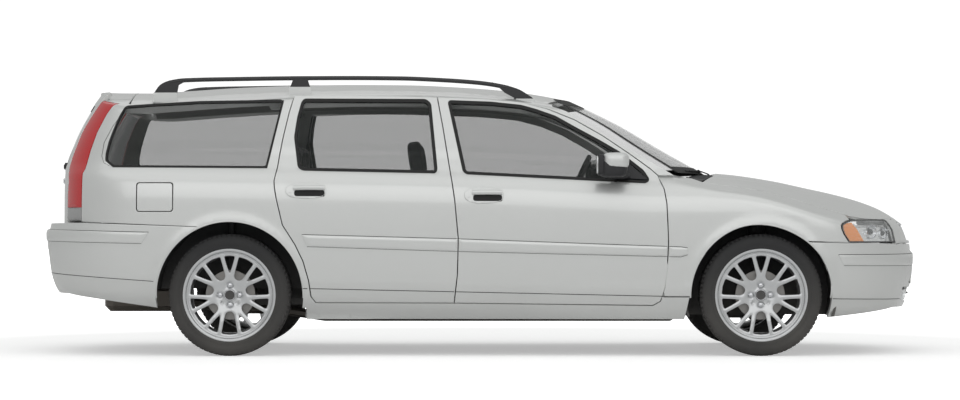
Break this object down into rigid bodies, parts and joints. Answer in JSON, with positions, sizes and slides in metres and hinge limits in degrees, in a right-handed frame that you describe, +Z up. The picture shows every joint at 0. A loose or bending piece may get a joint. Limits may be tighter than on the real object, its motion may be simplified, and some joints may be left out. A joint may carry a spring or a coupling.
{
  "type": "station wagon",
  "caption": "Five-door station wagon with hollow cabin, hung doors, bonnet, tailgate and fuel flap, steered front wheels and roof rails.",
  "frame": {"origin": "on the ground under the middle of the car", "axes": "+X to the front of the car, +Y to its left side, +Z up"},
  "size_m": [4.71, 1.9976, 1.468],
  "materials": {
    "body_paint": "light silver metallic",
    "underbody": "satin",
    "rail_black": "satin",
    "black_plastic": "grained",
    "lamp_clear": "clear",
    "lamp_red": "gloss",
    "tinted_glass": "dark tint",
    "dark_steel": "dull",
    "seat_cloth": "woven",
    "engine_metal": "rough",
    "cast": "rough",
    "wheel_alloy": "silver lacquer",
    "tyre": "matt"
  },
  "bodies": {
    "body": {"body_sides": "body_paint", "floor_pan": "underbody", "roof_panel": "body_paint", "roof_rails": "rail_black", "front_fenders": "body_paint", "front_bumper": "body_paint", "rear_bumper": "body_paint", "grille": "black_plastic", "headlamps": "lamp_clear", "tail_lamps": "lamp_red", "fixed_glass": "tinted_glass", "cowl_and_wipers": "black_plastic", "hinges": "dark_steel", "front_seats": "seat_cloth", "rear_bench": "seat_cloth", "dashboard": "black_plastic", "steering_wheel": "black_plastic", "engine_block": "engine_metal", "front_suspension": "dark_steel", "rear_suspension": "dark_steel", "exhaust": "dark_steel", "fuel_tank": "black_plastic"},
    "front_door_right": {"front_door_right": "body_paint", "front_glass_right": "tinted_glass", "mirror_right": "body_paint"},
    "front_door_left": {"front_door_left": "body_paint", "front_glass_left": "tinted_glass", "mirror_left": "body_paint"},
    "rear_door_right": {"rear_door_right": "body_paint", "rear_glass_right": "tinted_glass"},
    "rear_door_left": {"rear_door_left": "body_paint", "rear_glass_left": "tinted_glass"},
    "bonnet": {"bonnet": "body_paint"},
    "tailgate": {"tailgate": "body_paint", "tailgate_glass": "tinted_glass"},
    "fuel_flap": {"fuel_flap": "body_paint"},
    "knuckle_right": {"knuckle_right": "cast"},
    "knuckle_left": {"knuckle_left": "cast"},
    "wheel_front_right": {"wheel_front_right": "wheel_alloy", "tyre_front_right": "tyre"},
    "wheel_front_left": {"wheel_front_left": "wheel_alloy", "tyre_front_left": "tyre"},
    "wheel_rear_right": {"wheel_rear_right": "wheel_alloy", "tyre_rear_right": "tyre"},
    "wheel_rear_left": {"wheel_rear_left": "wheel_alloy", "tyre_rear_left": "tyre"}
  },
  "joints": [
    {"name": "front_door_right_hinge", "type": "hinge", "parent": "body", "child": "front_door_right", "pos_m": [0.90775, -0.878, 0.585], "axis": [0, 0, 1], "range_deg": [0, 65]},
    {"name": "front_door_left_hinge", "type": "hinge", "parent": "body", "child": "front_door_left", "pos_m": [0.90775, 0.878, 0.585], "axis": [0, 0, -1], "range_deg": [0, 65]},
    {"name": "rear_door_right_hinge", "type": "hinge", "parent": "body", "child": "rear_door_right", "pos_m": [-0.17525, -0.878, 0.585], "axis": [0, 0, 1], "range_deg": [0, 65]},
    {"name": "rear_door_left_hinge", "type": "hinge", "parent": "body", "child": "rear_door_left", "pos_m": [-0.17525, 0.878, 0.585], "axis": [0, 0, -1], "range_deg": [0, 65]},
    {"name": "bonnet_hinge", "type": "hinge", "parent": "body", "child": "bonnet", "pos_m": [1.125, 0, 0.868], "axis": [0, -1, 0], "range_deg": [0, 50]},
    {"name": "tailgate_hinge", "type": "hinge", "parent": "body", "child": "tailgate", "pos_m": [-1.82, 0, 1.366], "axis": [0, 1, 0], "range_deg": [0, 80]},
    {"name": "fuel_flap_hinge", "type": "hinge", "parent": "body", "child": "fuel_flap", "pos_m": [-1.63725, -0.87484, 0.824], "axis": [0, 0, 1], "range_deg": [0, 85]},
    {"name": "steer_right", "type": "hinge", "parent": "body", "child": "knuckle_right", "pos_m": [1.457, -0.69, 0.196], "axis": [0, 0.2113, 0.9774], "range_deg": [-34, 34]},
    {"name": "spin_front_right", "type": "hinge", "parent": "knuckle_right", "child": "wheel_front_right", "pos_m": [1.457, -0.778, 0.316], "axis": [0, 1, 0], "continuous": true},
    {"name": "spin_rear_right", "type": "hinge", "parent": "body", "child": "wheel_rear_right", "pos_m": [-1.298, -0.778, 0.316], "axis": [0, 1, 0], "continuous": true},
    {"name": "steer_left", "type": "hinge", "parent": "body", "child": "knuckle_left", "pos_m": [1.457, 0.69, 0.196], "axis": [0, -0.2113, 0.9774], "range_deg": [-34, 34]},
    {"name": "spin_front_left", "type": "hinge", "parent": "knuckle_left", "child": "wheel_front_left", "pos_m": [1.457, 0.778, 0.316], "axis": [0, 1, 0], "continuous": true},
    {"name": "spin_rear_left", "type": "hinge", "parent": "body", "child": "wheel_rear_left", "pos_m": [-1.298, 0.778, 0.316], "axis": [0, 1, 0], "continuous": true}
  ],
  "couplings": [
    {"joint": "steer_left", "follows": "steer_right", "ratio": 1}
  ]
}
